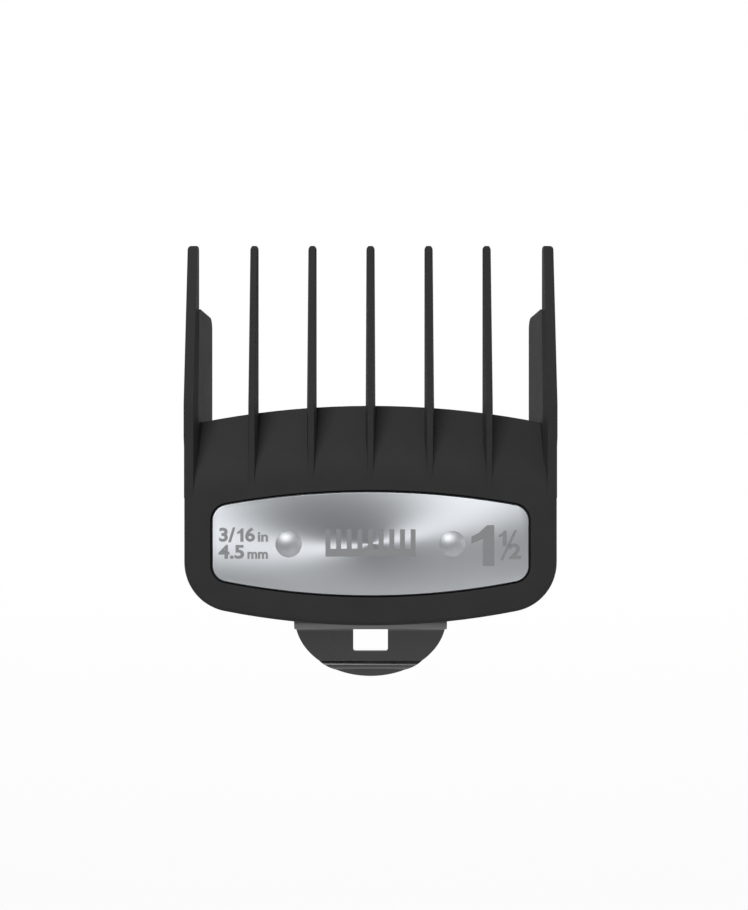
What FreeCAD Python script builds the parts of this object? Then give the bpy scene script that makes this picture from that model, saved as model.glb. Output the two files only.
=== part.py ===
import FreeCAD, Part

import math
import os

# Guard comb for a full-size hair clipper, in millimetres.
# X runs across the comb, +Y points from the skin side to the blade, +Z up to the tooth tips.
# The origin is on the face that the clipper's blade rests on, at the comb's middle.

Vector = FreeCAD.Vector

# The blade that the comb fits
bladeWidth = 46.0
bladeThick = 2.4
bladeSideGap = 0.27       # between the blade and each side wall
bladeRearGap = 0.3        # between the blade and the catch that holds its heel

# Moulded comb, heights from the lower edge at the middle
seatHeight = 20.0         # up to the origin
bodyHeight = 29.6         # up to the body's top edge
heelHeight = 1.3          # up to the blade's heel
wallHeight = 42.8         # up to the side walls' top
toothReach = 51.4         # up to the tooth tips
bodyThick = 4.2           # skin side to the blade seat
wallThick = 1.7
wallDepth = 8.2           # side walls behind the blade seat
wallCorner = 1.6          # rounding of a wall's upper rear corner
wallLedge = 0.3           # height over which an outer tooth narrows at its wall's top
wallRamp = 9.0            # height over which a wall rises from the seat at its lower end
lowerRadius = 100.5       # curve of the lower edge
upperRadius = 120.0       # curve of the top edge
bodyCorner = 6.7          # lower corners
edgeRound = 0.7           # rounding round the skin side of the body
bodyCornerShare = 0.6     # of edgeRound, cut off an outer tooth's foot to follow that rounding
bevelHeight = 8.0         # slope from the skin side up to the top edge
bevelLip = 0.7            # thickness left at the top edge
bevelRound = 9.0          # radius of the soft crease below the slope

# Teeth
innerTeeth = 5
toothPitch = 7.93
crestWidth = 0.76         # skin side edge of an inner tooth
toothBaseWidth = 1.32
toothTipWidth = 1.13
toothRearWidth = 0.85
flareDepth = 1.56         # from the crest back to the tooth's widest line, at the body
tipFlareDepth = 0.3       # the same at the tip
toothLean = 2.75          # how far the crest leans back at the tip
tipDepth = 1.4            # crest to rear edge at the tip, which leaves the rear edge nearly upright
tipRound = 0.45
tipCurve = ((0.6, 0.2), (1, 0.6))  # rise and inset, as shares of tipRound
outerCrestWidth = 1.33
outerCorner = 0.15        # outside corner of an outer tooth's crest
shoulderHeight = 24.6     # above the lower edge, where the body's rounding gives way to that corner

# Front plate, heights from the lower edge at the middle
plateWidth = 42.4
plateLow = 4.0
plateHigh = 18.0
plateLowRadius = 100.5
plateHighRadius = 109.5
plateCorner = 2.2
plateThick = 0.6
plateBevel = 0.18
plateGap = 0.18           # all round, in its recess

# Rivets
rivetSpacing = 21.86
rivetHeight = 10.95       # above the lower edge
rivetHeadDiameter = 3.5
rivetHeadRise = 0.7
rivetDiameter = 2.0
rivetTailDiameter = 2.9
rivetGap = 0.06           # radial, in each hole

# Spring clip, folded from one strip
clipThick = 0.6
tabWidth = 21.8           # at the grip, behind the folds
clipWidth = 21.0
legWidth = 29.4           # where the rivets hold it
legHeight = 15.4          # above the lower edge
legShoulder = 5.2         # height where the leg starts to widen
legCorner = 1.5
legGap = 0.15             # all round, in its pocket
legSink = 0.05            # below the blade seat
foldDrop = 0.15           # from the body's lower edge down to the first fold
springGap = 0.02          # below the leg's end, where the folded part springs from
foldInner = 0.5           # inside radius of the first fold
tabInner = 1.2            # inside radius of the second fold
tabSetback = 5.5          # blade seat to the tab's front
tabReach = 9.0            # lower edge down to the tab's end
tabCurveStart = 0.7       # lower edge down to where the tab starts to curve in
beadDrop = 7.45           # lower edge down to the middle of the grip bead
beadWidth = 1.25
beadRise = 0.45
windowWidth = 5.0
windowDrop = 5.4          # lower edge down to the window's bottom
windowRound = 0.3
catchSideGap = 0.2        # between the catch and the window's sides
catchInner = 0.4          # inside radius of the catch's folds
catchHold = 1.0           # how far the catch stands up behind the blade's heel
catchLip = 0.7            # length of the sloping lip
catchLipSlope = 40        # degrees that the lip leans back from upright

# For the modelling itself
cutMargin = 1.0           # how far a cutting shape reaches past the face it opens
samePoint = 1e-6
sameLevel = 1e-3          # for finding edges by their height

# Heights and depths that follow
lowEdge = -seatHeight
frontFace = -bodyThick
wallInside = bladeWidth / 2 + bladeSideGap
halfWidth = wallInside + wallThick
legRear = -legSink
legFront = legRear - clipThick
legEnd = lowEdge - foldDrop
foldTop = legEnd - springGap
rivetX = rivetSpacing / 2
rivetZ = lowEdge + rivetHeight


def line(a, b):
    return Part.LineSegment(Vector(*a), Vector(*b)).toShape()


def arc(a, middle, b):
    return Part.Arc(Vector(*a), Vector(*middle), Vector(*b)).toShape()


def solidFrom(edges, push):
    """Closed flat outline pushed along a vector."""
    return Part.Face(Part.Wire(edges)).extrude(Vector(*push))


def box(low, high):
    size = [b - a for a, b in zip(low, high)]
    return Part.makeBox(*size, Vector(*low))


def onCircle(centre, radius, degrees, x):
    """A point in the YZ plane, with degrees counted from +Y towards +Z."""
    turn = math.radians(degrees)
    return (x, centre[0] + radius * math.cos(turn), centre[1] + radius * math.sin(turn))


def turnArc(centre, radius, start, end, x):
    steps = (start, (start + end) / 2, end)
    return arc(*[onCircle(centre, radius, degrees, x) for degrees in steps])


def runsAlongY(edge):
    ends = [v.Point for v in edge.Vertexes]
    sameX = abs(ends[0].x - ends[-1].x) < samePoint
    sameZ = abs(ends[0].z - ends[-1].z) < samePoint
    return len(ends) == 2 and sameX and sameZ


def barrel(half, low, lowCurve, high, highCurve, front, rear, corners):
    """Plate with curved lower and upper edges, its corners rounded as the pairs in corners say."""
    lowSide = low + lowCurve - math.sqrt(lowCurve ** 2 - half ** 2)
    highSide = high - highCurve + math.sqrt(highCurve ** 2 - half ** 2)
    edges = [
        arc((-half, front, lowSide), (0, front, low), (half, front, lowSide)),
        line((half, front, lowSide), (half, front, highSide)),
        arc((half, front, highSide), (0, front, high), (-half, front, highSide)),
        line((-half, front, highSide), (-half, front, lowSide)),
    ]
    plate = solidFrom(edges, (0, rear - front, 0))
    for radius, level in zip(corners, (lowSide, highSide)):
        if radius > 0:
            upright = [e for e in plate.Edges if runsAlongY(e) and abs(e.CenterOfMass.z - level) < sameLevel]
            plate = plate.makeFillet(radius, upright)
    return plate


def edgesAtDepth(shape, depth):
    return [e for e in shape.Edges if all(abs(v.Y - depth) < samePoint for v in e.Vertexes)]


def turnedAboutY(edges, x, z):
    """Profile in the XY plane, drawn from the axis outwards, turned about a Y axis at x, z."""
    face = Part.Face(Part.Wire(edges))
    solid = face.revolve(Vector(0, 0, 0), Vector(0, 1, 0), 360)
    solid.translate(Vector(x, 0, z))
    return solid


# Moulded comb
def slopedTop():
    """Everything below the body's slope, turned about the centre of the top edge's curve."""
    centre = lowEdge + bodyHeight - upperRadius
    crease = upperRadius - bevelHeight
    lip = -bevelLip
    slope = math.atan2(lip - frontFace, bevelHeight)
    blend = bevelRound * math.tan(slope / 2)
    start = (crease - blend, frontFace, 0)
    end = (crease + blend * math.cos(slope), frontFace + blend * math.sin(slope), 0)
    middle = (
        start[0] + bevelRound * math.sin(slope / 2),
        frontFace + bevelRound * (1 - math.cos(slope / 2)),
        0,
    )
    edges = [
        line((0, frontFace, 0), start),
        arc(start, middle, end),
        line(end, (upperRadius, lip, 0)),
        line((upperRadius, lip, 0), (upperRadius, 0, 0)),
        line((upperRadius, 0, 0), (0, 0, 0)),
        line((0, 0, 0), (0, frontFace, 0)),
    ]
    return turnedAboutY(edges, 0, centre)


def bodyPlate():
    high = lowEdge + bodyHeight
    plate = barrel(halfWidth, lowEdge, lowerRadius, high, upperRadius, frontFace, 0, (bodyCorner, 0))
    rim = [e for e in edgesAtDepth(plate, frontFace) if e.CenterOfMass.z < high - bevelHeight]
    return plate.makeFillet(edgeRound, rim).common(slopedTop())


def crestDepth(z):
    """Where the tooth's skin side edge lies: upright beside the body, then leaning back to the tip."""
    start = lowEdge + bodyHeight
    run = lowEdge + toothReach - start
    return frontFace + toothLean * max(0, z - start) / run


def toothLevels():
    """Height, share of the way up the free tooth, rear edge and shrink, from the root to the tip."""
    top = lowEdge + toothReach
    start = lowEdge + bodyHeight
    wallTop = lowEdge + wallHeight
    shoulder = lowEdge + shoulderHeight
    tipRear = crestDepth(top) + tipDepth
    levels = [
        (start - bevelHeight - bevelRound / 2, 0, 0, 0),
        (shoulder - edgeRound, 0, 0, 0),
        (shoulder + edgeRound, 0, 0, 0),
        (start, 0, 0, 0),
    ]
    for z in (wallTop - wallLedge, wallTop, top - tipRound):
        share = (z - start) / (top - tipRound - start)
        levels.append((z, share, tipRear * share, 0))
    for rise, shrink in tipCurve:
        levels.append((top - tipRound * (1 - rise), 1, tipRear, tipRound * shrink))
    return levels


def innerSection(x, z, share, rear, shrink):
    """Six-sided section: narrow crest, widest a little behind it, narrower again at the rear."""
    crest = crestDepth(z)
    wide = (toothBaseWidth + (toothTipWidth - toothBaseWidth) * share) / 2 - shrink
    flare = flareDepth + (tipFlareDepth - flareDepth) * share
    front = min(crestWidth / 2, wide)
    back = min(toothRearWidth / 2, wide)
    return [
        (x - front, crest + shrink / 2),
        (x + front, crest + shrink / 2),
        (x + wide, crest + flare),
        (x + back, rear - shrink),
        (x - back, rear - shrink),
        (x - wide, crest + flare),
    ]


def outerSection(side, z, share, rear, shrink):
    """Section of an outer tooth: flat outside, flared inwards to its wall, straight above that."""
    crest = crestDepth(z)
    flare = flareDepth + (tipFlareDepth - flareDepth) * share
    outside = side * (halfWidth - shrink)
    crestInside = side * (halfWidth - outerCrestWidth)
    inside = side * wallInside if z < lowEdge + wallHeight - sameLevel else crestInside
    corner = outerCorner if z > lowEdge + shoulderHeight else edgeRound * bodyCornerShare
    return [
        (outside, crest + shrink / 2 + corner),
        (outside - side * corner, crest + shrink / 2),
        (crestInside, crest + shrink / 2),
        (inside, crest + flare),
        (inside, rear - shrink),
        (outside, rear - shrink),
    ]


def tooth(section, place):
    """One tooth through all its levels, with its foot inside the body."""
    wires = []
    for z, share, rear, shrink in toothLevels():
        corners = [Vector(x, y, z) for x, y in section(place, z, share, rear, shrink)]
        wires.append(Part.makePolygon(corners + corners[:1]))
    return Part.makeLoft(wires, True, True)


def sideWall(side):
    """Wall beside the blade, behind the outer tooth, from the lower corner up to its own top."""
    x = side * wallInside
    lowSide = lowEdge + lowerRadius - math.sqrt(lowerRadius ** 2 - halfWidth ** 2)
    foot = lowSide + bodyCorner
    top = lowEdge + wallHeight
    front = crestDepth(top) + flareDepth
    rampRadius = (wallDepth ** 2 + wallRamp ** 2) / (2 * wallDepth)
    rampCentre = (wallDepth - rampRadius, foot + wallRamp)
    rampStart = -math.degrees(math.asin(wallRamp / rampRadius))
    edges = [
        line((x, front, foot), (x, 0, foot)),
        turnArc(rampCentre, rampRadius, rampStart, 0, x),
        line((x, wallDepth, foot + wallRamp), (x, wallDepth, top - wallCorner)),
        turnArc((wallDepth - wallCorner, top - wallCorner), wallCorner, 0, 90, x),
        line((x, wallDepth - wallCorner, top), (x, front, top)),
        line((x, front, top), (x, front, foot)),
    ]
    return solidFrom(edges, (side * wallThick, 0, 0))


def plateOutline(grow, front, rear):
    low = lowEdge + plateLow - grow
    high = lowEdge + plateHigh + grow
    half = plateWidth / 2 + grow
    corner = plateCorner + grow
    curves = (plateLowRadius + grow, plateHighRadius + grow)
    return barrel(half, low, curves[0], high, curves[1], front, rear, (corner, corner))


def legOutline(grow, front, rear, bottom):
    """The clip's riveted leg, widened at the rivets, or with grow its pocket."""
    narrow = clipWidth / 2 + grow
    wide = legWidth / 2 + grow
    shoulder = lowEdge + legShoulder - grow
    flare = shoulder + (legWidth - clipWidth) / 2
    top = lowEdge + legHeight + grow
    right = [(narrow, bottom), (narrow, shoulder), (wide, flare), (wide, top)]
    corners = right + [(-x, z) for x, z in reversed(right)]
    points = [(x, front, z) for x, z in corners]
    edges = [line(a, b) for a, b in zip(points, points[1:] + points[:1])]
    leg = solidFrom(edges, (0, rear - front, 0))
    upper = [e for e in leg.Edges if runsAlongY(e) and e.CenterOfMass.z > top - sameLevel]
    return leg.makeFillet(legCorner + grow, upper)


def crossHole(diameter, x):
    through = 3 * bodyThick
    return Part.makeCylinder(diameter / 2, through, Vector(x, -through / 2, rivetZ), Vector(0, 1, 0))


def combBody():
    comb = bodyPlate()
    middle = (innerTeeth - 1) / 2
    pieces = [tooth(innerSection, toothPitch * (i - middle)) for i in range(innerTeeth)]
    for side in (-1, 1):
        pieces += [tooth(outerSection, side), sideWall(side)]
    comb = comb.multiFuse(pieces).removeSplitter()
    comb = comb.cut(plateOutline(plateGap, frontFace - cutMargin, frontFace + plateThick))
    comb = comb.cut(legOutline(legGap, legFront, cutMargin, lowEdge - cutMargin))
    for x in (-rivetX, rivetX):
        comb = comb.cut(crossHole(rivetDiameter + 2 * rivetGap, x))
    return comb


# Front plate
def frontPlate():
    plate = plateOutline(0, frontFace, frontFace + plateThick)
    plate = plate.makeChamfer(plateBevel, edgesAtDepth(plate, frontFace))
    for x in (-rivetX, rivetX):
        plate = plate.cut(crossHole(rivetDiameter + 2 * rivetGap, x))
    return plate


# Rivets
def countersink(x, gap):
    """Cone from the shank out to the tail's full size at the leg's rear face."""
    small = rivetDiameter / 2 + gap
    large = rivetTailDiameter / 2 + gap
    depth = large - small
    return Part.makeCone(small, large, depth, Vector(x, legRear - depth, rivetZ), Vector(0, 1, 0))


def rivet(x):
    """Domed head on the front plate, shank through plate, comb and leg, tail flush in the leg."""
    head = rivetHeadDiameter / 2
    shank = rivetDiameter / 2
    tail = rivetTailDiameter / 2
    taper = legRear - (tail - shank)
    apex = frontFace - rivetHeadRise
    sphere = (head ** 2 + rivetHeadRise ** 2) / (2 * rivetHeadRise)
    half = math.asin(head / sphere) / 2
    middle = (sphere * math.sin(half), apex + sphere * (1 - math.cos(half)), 0)
    edges = [
        line((0, legRear, 0), (0, apex, 0)),
        arc((0, apex, 0), middle, (head, frontFace, 0)),
        line((head, frontFace, 0), (shank, frontFace, 0)),
        line((shank, frontFace, 0), (shank, taper, 0)),
        line((shank, taper, 0), (tail, legRear, 0)),
        line((tail, legRear, 0), (0, legRear, 0)),
    ]
    return turnedAboutY(edges, x, rivetZ)


# Spring clip
def clipLeg():
    leg = legOutline(0, legFront, legRear, legEnd)
    for x in (-rivetX, rivetX):
        leg = leg.cut(crossHole(rivetDiameter + 2 * rivetGap, x)).cut(countersink(x, rivetGap))
    return leg


def tabStrip():
    """The strip below the leg: folded back under the blade's heel, then down to the grip."""
    x = -tabWidth / 2
    foldCentre = (legRear + foldInner, foldTop)
    under = foldTop - foldInner
    tabCentre = (tabSetback - tabInner, under - clipThick - tabInner)
    rear = tabSetback + clipThick
    bottom = lowEdge - tabReach
    bead = lowEdge - beadDrop
    beadTop = bead + beadWidth / 2
    beadLow = bead - beadWidth / 2
    edges = [
        turnArc(foldCentre, foldInner, 180, 270, x),
        line((x, foldCentre[0], under), (x, tabCentre[0], under)),
        turnArc(tabCentre, tabInner + clipThick, 90, 0, x),
        line((x, rear, tabCentre[1]), (x, rear, beadTop)),
        arc((x, rear, beadTop), (x, rear - beadRise, bead), (x, rear, beadLow)),
        line((x, rear, beadLow), (x, rear, bottom)),
        line((x, rear, bottom), (x, tabSetback, bottom)),
        line((x, tabSetback, bottom), (x, tabSetback, beadLow)),
        arc((x, tabSetback, beadLow), (x, tabSetback - beadRise, bead), (x, tabSetback, beadTop)),
        line((x, tabSetback, beadTop), (x, tabSetback, tabCentre[1])),
        turnArc(tabCentre, tabInner, 0, 90, x),
        line((x, tabCentre[0], under - clipThick), (x, foldCentre[0], under - clipThick)),
        turnArc(foldCentre, foldInner + clipThick, 270, 180, x),
        line((x, legFront, foldTop), (x, legRear, foldTop)),
    ]
    return solidFrom(edges, (tabWidth, 0, 0))


def tabOutline():
    """Seen from the front: straight sides that end in half an ellipse."""
    half = tabWidth / 2
    curve = lowEdge - tabCurveStart
    drop = tabReach - tabCurveStart
    front, rear = legFront - cutMargin, tabSetback + clipThick + cutMargin
    ellipse = Part.Ellipse(Vector(0, 0, 0), max(half, drop), min(half, drop)).toShape()
    ellipse.rotate(Vector(0, 0, 0), Vector(1, 0, 0), 90)
    if drop > half:
        ellipse.rotate(Vector(0, 0, 0), Vector(0, 1, 0), 90)
    ellipse.translate(Vector(0, front, curve))
    oval = Part.Face(Part.Wire([ellipse])).extrude(Vector(0, rear - front, 0))
    return oval.fuse(box((-half, front, curve), (half, rear, lowEdge + cutMargin)))


def tabSpread():
    """Seen from above: as wide as the leg at the first fold, then spreading to the tab's width."""
    fold, tab = clipWidth / 2, tabWidth / 2
    front, rear = legFront - cutMargin, tabSetback + clipThick + cutMargin
    spread = tabSetback - tabInner
    low = lowEdge - tabReach - cutMargin
    right = [(fold, front), (fold, 0), (tab, spread), (tab, rear)]
    points = [(x, y, low) for x, y in right + [(-x, y) for x, y in reversed(right)]]
    edges = [line(a, b) for a, b in zip(points, points[1:] + points[:1])]
    return solidFrom(edges, (0, 0, tabReach + 2 * cutMargin))


def catchStrip():
    """Tongue cut free in the window, folded up behind the blade's heel, with a lip sloping back."""
    x = -(windowWidth / 2 - catchSideGap)
    under = foldTop - foldInner
    face = bladeThick + bladeRearGap
    root = (face - catchInner, under + catchInner)
    outer = catchInner + clipThick
    crown = (face + outer, lowEdge + heelHeight + catchHold - outer)
    lean = math.radians(catchLipSlope)
    tipOut = onCircle(crown, outer, catchLipSlope, x)
    tipIn = onCircle(crown, catchInner, catchLipSlope, x)
    along = (0, math.sin(lean) * catchLip, -math.cos(lean) * catchLip)
    lipOut = tuple(a + b for a, b in zip(tipOut, along))
    lipIn = tuple(a + b for a, b in zip(tipIn, along))
    edges = [
        turnArc(root, catchInner, 270, 360, x),
        line((x, face, root[1]), (x, face, crown[1])),
        turnArc(crown, outer, 180, catchLipSlope, x),
        line(tipOut, lipOut),
        line(lipOut, lipIn),
        line(lipIn, tipIn),
        turnArc(crown, catchInner, catchLipSlope, 180, x),
        line((x, face + clipThick, crown[1]), (x, face + clipThick, root[1])),
        turnArc(root, outer, 360, 270, x),
        line((x, root[0], under - clipThick), (x, root[0], under)),
    ]
    return solidFrom(edges, (-2 * x, 0, 0))


def clipTab():
    tab = tabStrip().common(tabOutline()).common(tabSpread())
    root = bladeThick + bladeRearGap - catchInner
    half = windowWidth / 2
    bottom = lowEdge - windowDrop
    window = box((-half, root, bottom), (half, tabSetback + clipThick + cutMargin, lowEdge))
    lower = [e for e in window.Edges if runsAlongY(e) and e.CenterOfMass.z < bottom + sameLevel]
    return tab.cut(window.makeFillet(windowRound, lower)).fuse(catchStrip()).removeSplitter()


nodes = {
    "comb_body": combBody(),
    "front_plate": frontPlate(),
    "rivet_left": rivet(-rivetX),
    "rivet_right": rivet(rivetX),
    "clip_leg": clipLeg(),
    "clip_tab": clipTab(),
}

os.makedirs("parts", exist_ok=True)
for name, shape in nodes.items():
    shape.exportStep(f"parts/{name}.step")
    print(name, len(shape.Solids), "solid", round(shape.Volume, 3), "mm3", shape.isValid())
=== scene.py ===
import math

import bmesh
import bpy
from mathutils import Matrix, Vector


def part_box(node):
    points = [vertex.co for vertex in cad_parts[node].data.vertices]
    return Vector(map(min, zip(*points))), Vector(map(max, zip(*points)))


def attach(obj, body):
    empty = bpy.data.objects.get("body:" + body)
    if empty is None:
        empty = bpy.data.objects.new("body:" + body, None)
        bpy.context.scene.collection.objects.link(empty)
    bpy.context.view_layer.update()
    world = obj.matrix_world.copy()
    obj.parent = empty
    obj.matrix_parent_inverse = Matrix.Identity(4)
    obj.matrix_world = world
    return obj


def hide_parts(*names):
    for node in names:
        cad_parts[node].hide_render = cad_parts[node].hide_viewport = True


# Guard comb for a hair clipper: black moulding, spun steel front plate,
# two rivets and a dark spring clip.
# Metres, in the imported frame: X across, -Y is the skin side, +Z to the tooth tips.

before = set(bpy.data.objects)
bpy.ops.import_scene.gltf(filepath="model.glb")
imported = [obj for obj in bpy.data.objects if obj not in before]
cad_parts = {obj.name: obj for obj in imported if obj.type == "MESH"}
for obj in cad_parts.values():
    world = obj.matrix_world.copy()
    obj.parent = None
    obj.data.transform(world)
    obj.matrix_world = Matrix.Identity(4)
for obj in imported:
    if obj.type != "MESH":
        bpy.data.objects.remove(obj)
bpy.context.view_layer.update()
mm = 0.001
scene = bpy.context.scene
print("frame loaded")


class Flow:
    # one socket of a node; arithmetic on it adds Math nodes
    def __init__(self, finish, socket):
        self.finish = finish
        self.socket = socket

    def __add__(self, other):
        return self.finish.maths("ADD", self, other)

    def __radd__(self, other):
        return self.finish.maths("ADD", other, self)

    def __sub__(self, other):
        return self.finish.maths("SUBTRACT", self, other)

    def __rsub__(self, other):
        return self.finish.maths("SUBTRACT", other, self)

    def __mul__(self, other):
        return self.finish.maths("MULTIPLY", self, other)

    def __rmul__(self, other):
        return self.finish.maths("MULTIPLY", other, self)

    def __truediv__(self, other):
        return self.finish.maths("DIVIDE", self, other)

    def __rtruediv__(self, other):
        return self.finish.maths("DIVIDE", other, self)


class Finish:
    # a material, and the one way that its nodes are added
    def __init__(self, name):
        self.material = bpy.data.materials.new(name)
        self.material.use_nodes = True
        self.tree = self.material.node_tree
        self.tree.nodes.clear()

    def node(self, kind, settings=None, sockets=None, output=0):
        made = self.tree.nodes.new(kind)
        for key, value in (settings or {}).items():
            if key == "stops":
                ramp = made.color_ramp
                while len(ramp.elements) < len(value):
                    ramp.elements.new(0.5)
                for element, (place, shade) in zip(ramp.elements, value):
                    element.position = place
                    element.color = (shade, shade, shade, 1)
            else:
                setattr(made, key, value)
        for key, value in (sockets or {}).items():
            if isinstance(value, Flow):
                self.tree.links.new(value.socket, made.inputs[key])
            else:
                made.inputs[key].default_value = value
        return Flow(self, made.outputs[output]) if made.outputs else None

    def maths(self, operation, first, second):
        return self.node("ShaderNodeMath", {"operation": operation}, {0: first, 1: second})

    def blend(self, factor, first, second):
        return self.node(
            "ShaderNodeMix", {"data_type": "RGBA"}, {0: factor, 6: first, 7: second}, 2)

    def stretched(self, scale):
        # object coordinates in millimetres, multiplied by scale
        place = self.node("ShaderNodeTexCoord", output=3)
        return self.node(
            "ShaderNodeVectorMath", {"operation": "MULTIPLY"},
            {0: place, 1: tuple(s / mm for s in scale)})

    def noise(self, place, scale, detail=3.0, roughness=0.55):
        return self.node(
            "ShaderNodeTexNoise", {},
            {"Vector": place, "Scale": scale, "Detail": detail, "Roughness": roughness})

    def ramp(self, value, *stops):
        return self.node("ShaderNodeValToRGB", {"stops": stops}, {0: value})

    def surface(self, sockets):
        shader = self.node("ShaderNodeBsdfPrincipled", {}, sockets)
        self.node("ShaderNodeOutputMaterial", {}, {0: shader})
        return self.material


mouldingLook = {
    "dark": (0.026, 0.026, 0.0265, 1),
    "light": (0.033, 0.033, 0.034, 1),
    "refraction": 1.15,
    "roughness": 0.62,
    "cloudStep": 1 / 0.22,    # steps, rises and radii in millimetres
    "cloudDull": 0.12,
    "grainStep": 0.16,
    "grainDull": 0.10,
    "grainRise": 0.010,
    "bump": 0.35,
    "rubbedStep": 1 / 0.9,
    "rubbedStops": ((0.52, 0.0), (0.72, 1.0)),
    "rubbedShine": 0.05,
    "edge": 0.10,
}


def blackMoulding():
    look = mouldingLook
    finish = Finish("blackMoulding")
    place = finish.stretched((1, 1, 1))
    grain = finish.noise(place, 1 / look["grainStep"], 2.0)
    cloud = finish.noise(place, 1 / look["cloudStep"], 4.0)
    rubbed = finish.ramp(
        finish.noise(place, 1 / look["rubbedStep"], 5.0, 0.7), *look["rubbedStops"])
    uneven = (cloud - 0.5) * look["cloudDull"] + (grain - 0.5) * look["grainDull"]
    edge = finish.node("ShaderNodeBevel", {"samples": 6}, {"Radius": look["edge"] * mm})
    normal = finish.node("ShaderNodeBump", {}, {
        "Strength": look["bump"], "Distance": look["grainRise"] * mm,
        "Height": grain, "Normal": edge})
    return finish.surface({
        "Base Color": finish.blend(cloud, look["dark"], look["light"]),
        "Roughness": look["roughness"] + uneven - rubbed * look["rubbedShine"],
        "Normal": normal, "IOR": look["refraction"]})


plateLook = {
    "colour": (0.66, 0.685, 0.715, 1),
    "worn": (0.56, 0.58, 0.605, 1),
    "roughness": 0.42,
    "anisotropy": 0.76,
    "ringStep": 0.09,         # millimetres between turning marks
    "ringScale": 0.5,
    "ringWander": 2.0,
    "ringWorn": 0.5,
    "ringDull": 0.06,
    "ringRise": 0.0012,       # millimetres
    "bump": 0.3,
    "wanderScale": 0.6,
    "cloudScale": 0.12,
    "cloudWorn": 0.3,
    "cloudDull": 0.05,
    "scuffStretch": (0.3, 2.4, 1),
    "scuffScale": 1.6,
    "scuffStops": ((0.60, 0.0), (0.78, 1.0)),
    "scuffDull": 0.05,
}


def spunSteel():
    # turning marks run round the plate's middle; the object's own Z is the plate's normal
    look = plateLook
    finish = Finish("spunSteel")
    place = finish.stretched((1, 1, 1))
    reach = finish.node("ShaderNodeVectorMath", {"operation": "LENGTH"}, {0: place}, 1)
    wander = finish.noise(place, look["wanderScale"], 3.0)
    turned = reach / look["ringStep"] + wander * look["ringWander"]
    rings = finish.noise(
        finish.node("ShaderNodeCombineXYZ", {}, {0: turned}), look["ringScale"], 2.0)
    cloud = finish.noise(place, look["cloudScale"], 3.0)
    scuff = finish.ramp(
        finish.noise(finish.stretched(look["scuffStretch"]), look["scuffScale"], 6.0, 0.7),
        *look["scuffStops"])
    worn = rings * look["ringWorn"] + cloud * look["cloudWorn"]
    uneven = (rings - 0.5) * look["ringDull"] + (cloud - 0.5) * look["cloudDull"]
    normal = finish.node("ShaderNodeBump", {}, {
        "Strength": look["bump"], "Distance": look["ringRise"] * mm, "Height": rings})
    return finish.surface({
        "Base Color": finish.blend(worn, look["colour"], look["worn"]), "Metallic": 1.0,
        "Roughness": look["roughness"] + uneven + scuff * look["scuffDull"],
        "Normal": normal, "Anisotropic": look["anisotropy"]})


satinLook = {
    "cloudScale": 0.35,
    "cloudWorn": 0.6,
    "cloudDull": 0.08,
    "rubbedScale": 1.4,
    "rubbedStops": ((0.55, 0.0), (0.75, 1.0)),
    "rubbedWorn": 0.3,
    "grainDull": 0.10,
    "bump": 0.3,
    "edge": 0.06,             # millimetres
}
rivetLook = {
    "colour": (0.54, 0.555, 0.575, 1),
    "worn": (0.40, 0.41, 0.43, 1),
    "roughness": 0.58,
    "grain": (3, 3, 3),
    "rise": 0.006,            # millimetres
    "anisotropy": 0.3,
}
clipLook = {
    "colour": (0.135, 0.135, 0.136, 1),
    "worn": (0.165, 0.165, 0.166, 1),
    "roughness": 0.44,
    "grain": (0.25, 7, 7),    # drawn out along X
    "rise": 0.003,            # millimetres
    "anisotropy": 0.82,
}


def satinSteel(name, look):
    # fine grain with faint clouding and rubbed patches
    finish = Finish(name)
    place = finish.stretched((1, 1, 1))
    grain = finish.noise(finish.stretched(look["grain"]), 1.0, 3.0)
    cloud = finish.noise(place, satinLook["cloudScale"], 4.0)
    rubbed = finish.ramp(
        finish.noise(place, satinLook["rubbedScale"], 6.0, 0.7), *satinLook["rubbedStops"])
    worn = cloud * satinLook["cloudWorn"] + rubbed * satinLook["rubbedWorn"]
    uneven = (grain - 0.5) * satinLook["grainDull"] + (cloud - 0.5) * satinLook["cloudDull"]
    edge = finish.node("ShaderNodeBevel", {"samples": 6}, {"Radius": satinLook["edge"] * mm})
    normal = finish.node("ShaderNodeBump", {}, {
        "Strength": satinLook["bump"], "Distance": look["rise"] * mm,
        "Height": grain, "Normal": edge})
    return finish.surface({
        "Base Color": finish.blend(worn, look["colour"], look["worn"]), "Metallic": 1.0,
        "Roughness": look["roughness"] + uneven, "Normal": normal,
        "Anisotropic": look["anisotropy"]})


etchLook = {
    "dark": (0.25, 0.255, 0.26, 1),
    "light": (0.32, 0.325, 0.33, 1),
    "metallic": 0.6,
    "roughness": 0.55,
    "frostScale": 9.0,
    "frostDull": 0.1,
    "frostRise": 0.004,       # millimetres
    "bump": 0.3,
}


def etchedMark():
    look = etchLook
    finish = Finish("etchedMark")
    frost = finish.noise(finish.stretched((1, 1, 1)), look["frostScale"], 3.0)
    normal = finish.node("ShaderNodeBump", {}, {
        "Strength": look["bump"], "Distance": look["frostRise"] * mm, "Height": frost})
    return finish.surface({
        "Base Color": finish.blend(frost, look["dark"], look["light"]),
        "Metallic": look["metallic"],
        "Roughness": look["roughness"] + frost * look["frostDull"], "Normal": normal})


moulding = blackMoulding()
spun = spunSteel()
rivetSteel = satinSteel("rivetSteel", rivetLook)
clipSteel = satinSteel("clipSteel", clipLook)
etch = etchedMark()
print("finishes made")

smoothUnder = 35              # degrees between faces


def newPiece(name, mesh, body, finish):
    piece = bpy.data.objects.new(name, mesh)
    scene.collection.objects.link(piece)
    mesh.materials.clear()
    mesh.materials.append(finish)
    mesh.shade_smooth()
    mesh.set_sharp_from_angle(angle=math.radians(smoothUnder))
    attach(piece, body)
    return piece


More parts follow.
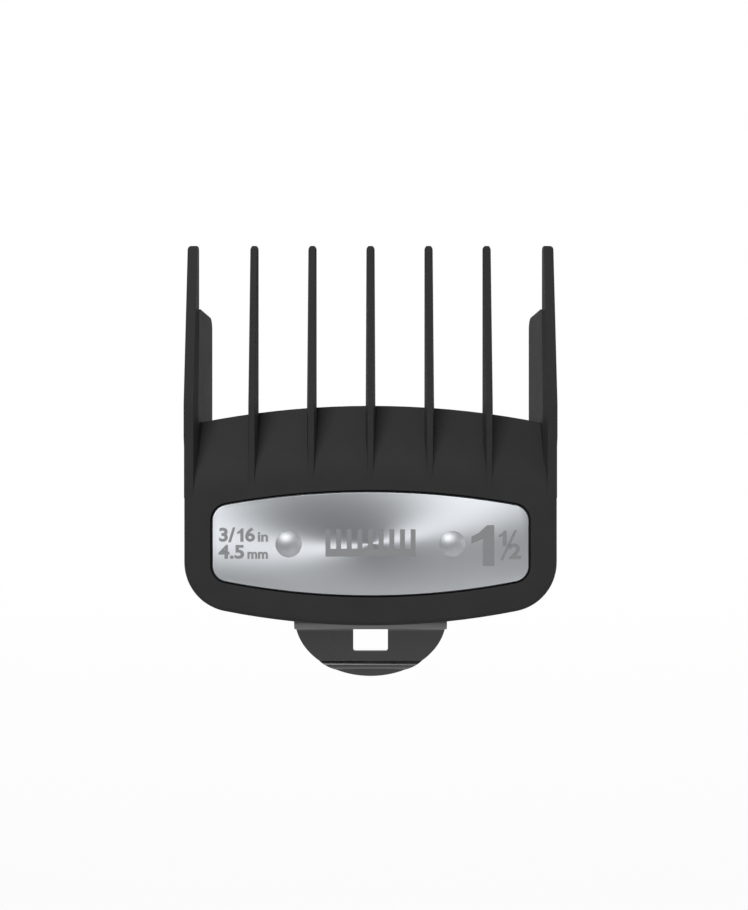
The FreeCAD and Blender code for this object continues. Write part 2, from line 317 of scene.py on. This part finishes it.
def arcPoints(centre, radius, start, end, steps):
    # points on a circle in a plane, degrees from its first axis
    turns = [math.radians(start + (end - start) * i / steps) for i in range(steps + 1)]
    return [(centre[0] + radius * math.cos(t), centre[1] + radius * math.sin(t)) for t in turns]


def barrelOutline(half, low, lowCurve, high, highCurve, corner, inset, steps):
    # closed outline, anticlockwise from the lower left:
    # curved edges, straight sides, round corners
    half, corner = half - inset, corner - inset
    lowRadius, highRadius = lowCurve - inset, highCurve - inset
    lowCentre, highCentre = low + lowCurve, high - highCurve
    outline = []
    for radius, centre, up in ((lowRadius, lowCentre, -1), (highRadius, highCentre, 1)):
        # the corner's own centre: inside both the side and the curved edge
        cx = half - corner
        cz = centre + up * math.sqrt((radius - corner) ** 2 - cx ** 2)
        lean = math.degrees(math.atan2(cx, (cz - centre) * up))
        across = steps["edge"]
        if up < 0:
            edge = arcPoints((0, centre), radius, 270 - lean, 270 + lean, across)
            turn = arcPoints((cx, cz), corner, 270 + lean, 360, steps["corner"])
            outline += edge + turn[1:]
        else:
            turn = arcPoints((cx, cz), corner, 0, 90 - lean, steps["corner"])
            edge = arcPoints((0, centre), radius, 90 - lean, 90 + lean, across)
            back = arcPoints((-cx, cz), corner, 90 + lean, 180, steps["corner"])
            outline += turn + edge[1:] + back[1:]
    # the last corner, at the lower left
    cx = half - corner
    cz = lowCentre - math.sqrt((lowRadius - corner) ** 2 - cx ** 2)
    lean = math.degrees(math.atan2(cx, lowCentre - cz))
    outline += arcPoints((-cx, cz), corner, 180, 270 - lean, steps["corner"])[:-1]
    return outline


def bridge(mesh, first, second):
    # a closed band of faces between two loops
    for i in range(len(first)):
        j = (i + 1) % len(first)
        mesh.faces.new((first[i], first[j], second[j], second[i]))


def ringsToMesh(name, rings):
    # rings of points with the same count, joined in order, ends closed
    mesh = bmesh.new()
    loops = [[mesh.verts.new(point) for point in ring] for ring in rings]
    for first, second in zip(loops, loops[1:]):
        bridge(mesh, first, second)
    mesh.faces.new(list(reversed(loops[0])))
    mesh.faces.new(loops[-1])
    bmesh.ops.recalc_face_normals(mesh, faces=mesh.faces)
    made = bpy.data.meshes.new(name)
    mesh.to_mesh(made)
    mesh.free()
    return made


def coatNode(name, finish):
    # a CAD node that stays as it is and takes a finish
    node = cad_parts[name]
    node.data.materials.clear()
    node.data.materials.append(finish)


coatNode("comb_body", moulding)
coatNode("clip_leg", clipSteel)
coatNode("clip_tab", clipSteel)

plate = {
    "lowCurve": 100.5 * mm,
    "highCurve": 109.5 * mm,
    "corner": 2.2 * mm,
    "chamfer": 0.18 * mm,
    "soft": 0.05 * mm,        # rounding at both edges of the chamfer
    "softPart": 0.3,
    "smoothUnder": 25,        # degrees between faces
    "steps": {"edge": 72, "corner": 14},
}


def plateMesh():
    low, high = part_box("front_plate")
    half = (high.x - low.x) / 2
    centre = (low + high) / 2

    def ring(inset, depth):
        outline = barrelOutline(
            half, low.z, plate["lowCurve"], high.z, plate["highCurve"],
            plate["corner"], inset, plate["steps"])
        return [(x, z - centre.z, -(depth - centre.y)) for x, z in outline]

    front, rear, chamfer = low.y, high.y, plate["chamfer"]
    soft, part = plate["soft"], plate["soft"] * plate["softPart"]
    rings = [
        ring(0, rear),
        ring(0, front + chamfer + soft),
        ring(part, front + chamfer - part),
        ring(chamfer - part, front + part),
        ring(chamfer + soft, front),
    ]
    return ringsToMesh("plateMesh", rings), centre


plateShape, plateCentre = plateMesh()
plateFace = bpy.data.objects.new("front_plate_spun", plateShape)
scene.collection.objects.link(plateFace)
faceForward = Matrix.Rotation(math.radians(90), 4, "X")
plateFace.matrix_world = Matrix.Translation(plateCentre) @ faceForward
plateShape.materials.append(spun)
plateShape.shade_smooth()
plateShape.set_sharp_from_angle(angle=math.radians(plate["smoothUnder"]))
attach(plateFace, "comb")
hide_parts("front_plate")
print("front plate made")

rivet = {
    "rise": 0.7 * mm,
    "head": 3.5 * mm,
    "shank": 2.0 * mm,
    "tail": 2.9 * mm,
    "lift": 0.004 * mm,       # the head's underside, just clear of the plate
    "tailLip": 0.02 * mm,
    "tailEdge": 0.03 * mm,
    "turns": 64,
    "rings": 14,
}


def rivetMesh(name, low, high):
    centre = ((low.x + high.x) / 2, (low.z + high.z) / 2)
    apex, rear = low.y, high.y
    head, shank, tail = rivet["head"] / 2, rivet["shank"] / 2, rivet["tail"] / 2
    face = apex + rivet["rise"]
    sphere = (head ** 2 + rivet["rise"] ** 2) / (2 * rivet["rise"])
    reach = math.asin(head / sphere)
    profile = []
    for i in range(1, rivet["rings"] + 1):
        turn = reach * i / rivet["rings"]
        profile.append((sphere * math.sin(turn), apex + sphere * (1 - math.cos(turn))))
    profile += [
        (shank, face + rivet["lift"]),
        (shank, rear - (tail - shank)),
        (tail, rear - rivet["tailLip"]),
        (tail - rivet["tailEdge"], rear),
    ]
    rings = []
    for radius, depth in profile:
        ring = []
        for i in range(rivet["turns"]):
            turn = 2 * math.pi * i / rivet["turns"]
            x = centre[0] + radius * math.cos(turn)
            z = centre[1] + radius * math.sin(turn)
            ring.append((x, depth, z))
        rings.append(ring)
    return ringsToMesh(name, rings)


for side in ("left", "right"):
    low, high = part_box("rivet_" + side)
    shape = rivetMesh("rivetMesh_" + side, low, high)
    piece = newPiece("rivet_head_" + side, shape, "comb", rivetSteel)
    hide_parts("rivet_" + side)
print("rivets made")

marks = {
    "rise": 0.012 * mm,       # above the plate, so that no two faces share a plane
    "bold": 0.014,            # of the letter's size, times a mark's own boldness
    "curveSteps": 6,
}
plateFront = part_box("front_plate")[0].y


def mark(name, text, size, left, base, widen, bold):
    # one line of plain figures; left and base are where it starts, in millimetres
    curve = bpy.data.curves.new(name, "FONT")
    curve.body = text
    curve.size = size * mm
    curve.offset = marks["bold"] * bold * size * mm
    curve.resolution_u = marks["curveSteps"]
    holder = bpy.data.objects.new(name + "_text", curve)
    scene.collection.objects.link(holder)
    bpy.context.view_layer.update()
    settled = holder.evaluated_get(bpy.context.evaluated_depsgraph_get())
    drawn = bpy.data.meshes.new_from_object(settled)
    bpy.data.objects.remove(holder)
    start = min(v.co.x for v in drawn.vertices)
    floor = min(v.co.y for v in drawn.vertices)
    for v in drawn.vertices:
        x, y = (v.co.x - start) * widen, v.co.y - floor
        v.co = (left * mm + x, plateFront - marks["rise"], base * mm + y)
    drawn.name = name + "_mesh"
    newPiece(name, drawn, "comb", etch)


def drawnMark(name, outlines):
    # closed flat outlines, points in millimetres
    mesh = bmesh.new()
    for outline in outlines:
        verts = [mesh.verts.new((x * mm, plateFront - marks["rise"], z * mm)) for x, z in outline]
        mesh.faces.new(verts)
    mesh.normal_update()
    bmesh.ops.triangulate(mesh, faces=mesh.faces)
    for face in mesh.faces:
        if face.normal.y > 0:
            face.normal_flip()
    made = bpy.data.meshes.new(name + "_mesh")
    mesh.to_mesh(made)
    mesh.free()
    newPiece(name, made, "comb", etch)


def bar(left, low, right, high):
    return [(left, low), (right, low), (right, high), (left, high)]


one = {                       # of the figure's width or height
    "stem": 0.50,
    "topIn": 0.62,            # of the stem
    "flagIn": 0.30,
    "flagTop": 0.80,
    "flagOuter": 0.72,
    "flagLow": 0.55,
    "flagRoot": 0.66,
}


def figureOne(left, low, wide, high):
    # plain heavy 1: upright stem with a flag that falls to the left
    right, stem = left + wide, wide * one["stem"]
    return [
        (right - stem, low), (right, low), (right, low + high),
        (right - stem * one["topIn"], low + high),
        (left + wide * one["flagIn"], low + high * one["flagTop"]),
        (left, low + high * one["flagOuter"]),
        (left, low + high * one["flagLow"]),
        (right - stem, low + high * one["flagRoot"]),
    ]


def slash(left, low, right, high, wide):
    return [(left, low), (left + wide, low), (right, high), (right - wide, high)]


# millimetres. mark: text, size, left, base, widening, boldness;
# figureOne: left, low, width, height; slash: left, low, right, high, width
etchings = [
    ("mark_inch_top", mark, ("3", 2.45, -20.20, -8.72, 1.12, 2.4)),
    ("mark_inch_slash", slash, (-18.98, -8.78, -18.02, -6.80, 0.36)),
    ("mark_inch_one", figureOne, (-17.80, -8.72, 0.86, 1.80)),
    ("mark_inch_low", mark, ("6", 2.45, -16.72, -8.72, 1.10, 2.4)),
    ("mark_inch_unit", mark, ("in", 1.85, -15.05, -8.72, 1.12, 2.4)),
    ("mark_metric_figures", mark, ("4.5", 2.45, -20.3, -11.00, 1.16, 2.4)),
    ("mark_metric_unit", mark, ("mm", 1.80, -16.42, -11.00, 1.02, 2.4)),
    ("mark_size_whole", figureOne, (13.45, -11.95, 3.05, 5.45)),
    ("mark_size_half_one", figureOne, (17.10, -9.30, 1.05, 2.05)),
    ("mark_size_half_slash", slash, (17.30, -11.2, 19.55, -7.15, 0.36)),
    ("mark_size_half_two", mark, ("2", 2.75, 18.45, -11.05, 1.18, 2.6)),
]
for name, kind, place in etchings:
    if kind is mark:
        mark(name, *place)
    else:
        drawnMark(name, [kind(*place)])

# a plain comb pictogram: upright bars on a spine, millimetres
pictogram = {
    "teeth": 9,
    "pitch": 1.42,
    "tooth": 0.66,
    "low": -10.70,
    "spine": 1.05,
    "high": -7.05,
}


def combPictogram():
    half = pictogram["pitch"] * (pictogram["teeth"] - 1) / 2
    thin = pictogram["tooth"] / 2
    joint = pictogram["low"] + pictogram["spine"]
    bars = [bar(-half - thin, pictogram["low"], half + thin, joint)]
    for i in range(pictogram["teeth"]):
        x = i * pictogram["pitch"] - half
        bars.append(bar(x - thin, joint, x + thin, pictogram["high"]))
    return bars


drawnMark("mark_comb_pictogram", combPictogram())
print("marks made")

stage = {                     # metres
    "floor": -0.30,
    "front": -0.30,
    "reach": 3.0,
    "back": 0.7,
    "rise": 1.3,
    "bend": 0.30,
    "bendSteps": 24,
    "shade": 0.80,
    "clothTint": 0.99,
    "clothScale": 0.02,
    "floorWhite": 0.93,       # the rest of the floor's look is its own shading
    "whiteFrom": 0.01,        # heights over the floor
    "whiteTo": 0.2,
}


def paleStage(name):
    # pale sheet, white to the eye, in reflections and through glass; a little of
    # the floor's own shading stays, so that it can take a shadow
    finish = Finish(name)
    path = finish.node("ShaderNodeLightPath", output=0)
    glossy = finish.node("ShaderNodeLightPath", output=3)
    through = finish.node("ShaderNodeLightPath", output=6)
    seen = finish.maths("MAXIMUM", finish.maths("MAXIMUM", path, glossy), through)
    place = finish.node("ShaderNodeTexCoord", output=3)
    height = finish.node("ShaderNodeSeparateXYZ", {}, {0: place}, 2)
    floor, shade = stage["floor"], stage["shade"]
    white = finish.node("ShaderNodeMapRange", {}, {
        0: height, 1: floor + stage["whiteFrom"], 2: floor + stage["whiteTo"],
        3: stage["floorWhite"], 4: 1.0})
    cloth = finish.noise(finish.stretched((1, 1, 1)), stage["clothScale"], 2.0)
    tinted = shade * stage["clothTint"]
    colour = finish.blend(cloth, (shade, shade, shade, 1), (tinted, tinted, shade, 1))
    diffuse = finish.node("ShaderNodeBsdfDiffuse", {}, {"Color": colour})
    glow = finish.node("ShaderNodeEmission", {}, {"Color": (1, 1, 1, 1), "Strength": 1.0})
    mixed = finish.node("ShaderNodeMixShader", {}, {0: seen * white, 1: diffuse, 2: glow})
    finish.node("ShaderNodeOutputMaterial", {}, {0: mixed})
    return finish.material


def sweepMesh():
    # floor that curves up into a backdrop
    floor, bend = stage["floor"], stage["bend"]
    bendStart = stage["back"] - bend
    profile = [(stage["front"], floor), (bendStart, floor)]
    profile += arcPoints((bendStart, floor + bend), bend, 270, 360, stage["bendSteps"])[1:]
    profile += [(stage["back"], stage["rise"])]
    mesh = bmesh.new()
    rows = []
    for y, z in profile:
        rows.append([mesh.verts.new((x, y, z)) for x in (-stage["reach"], stage["reach"])])
    for first, second in zip(rows, rows[1:]):
        mesh.faces.new((first[0], first[1], second[1], second[0]))
    made = bpy.data.meshes.new("sweepMesh")
    mesh.to_mesh(made)
    mesh.free()
    return made


sweep = bpy.data.objects.new("studio_sweep", sweepMesh())
scene.collection.objects.link(sweep)
sweep.data.materials.append(paleStage("paleSweep"))
sweep.data.shade_smooth()


# name, place, width, height in metres, power in watts; each faces the comb
lamps = [
    ("keyLamp", (-0.30, -0.66, 0.54), 0.60, 0.55, 7.5),
    ("lowLamp", (0.15, -0.62, -0.36), 0.50, 0.34, 0.5),
    ("sideLamp", (0.80, -0.12, 0.10), 0.50, 0.50, 1.8),
    ("topLamp", (-0.05, 0.15, 0.80), 0.60, 0.50, 0.4),
]


def lamp(name, place, width, height, power):
    data = bpy.data.lights.new(name, "AREA")
    data.shape = "RECTANGLE"
    data.size = width
    data.size_y = height
    data.energy = power
    made = bpy.data.objects.new(name, data)
    scene.collection.objects.link(made)
    made.location = place
    made.rotation_mode = "QUATERNION"
    made.rotation_quaternion = (-Vector(place)).to_track_quat("-Z", "Y")


for row in lamps:
    lamp(*row)

ambient = {"colour": (1, 1, 1, 1), "strength": 0.22}
world = bpy.data.worlds.new("studioWorld")
scene.world = world
world.use_nodes = True
background = world.node_tree.nodes["Background"]
background.inputs["Color"].default_value = ambient["colour"]
background.inputs["Strength"].default_value = ambient["strength"]

view = {
    "distance": 120 * mm,     # in front of the comb's skin side
    "height": 2.85 * mm,
    "lens": 35.6,
    "sensor": 36.0,
    "shift": 0.0038,
    "near": 0.005,
}
cameraData = bpy.data.cameras.new("studioCamera")
cameraData.lens = view["lens"]
cameraData.sensor_width = view["sensor"]
cameraData.sensor_fit = "AUTO"
cameraData.shift_x = view["shift"]
cameraData.clip_start = view["near"]
camera = bpy.data.objects.new("studioCamera", cameraData)
scene.collection.objects.link(camera)
camera.location = (0, plateFront - view["distance"], view["height"])
camera.rotation_euler = (math.radians(90), 0, 0)
scene.camera = camera
scene.view_settings.view_transform = "Standard"
print("stage made")
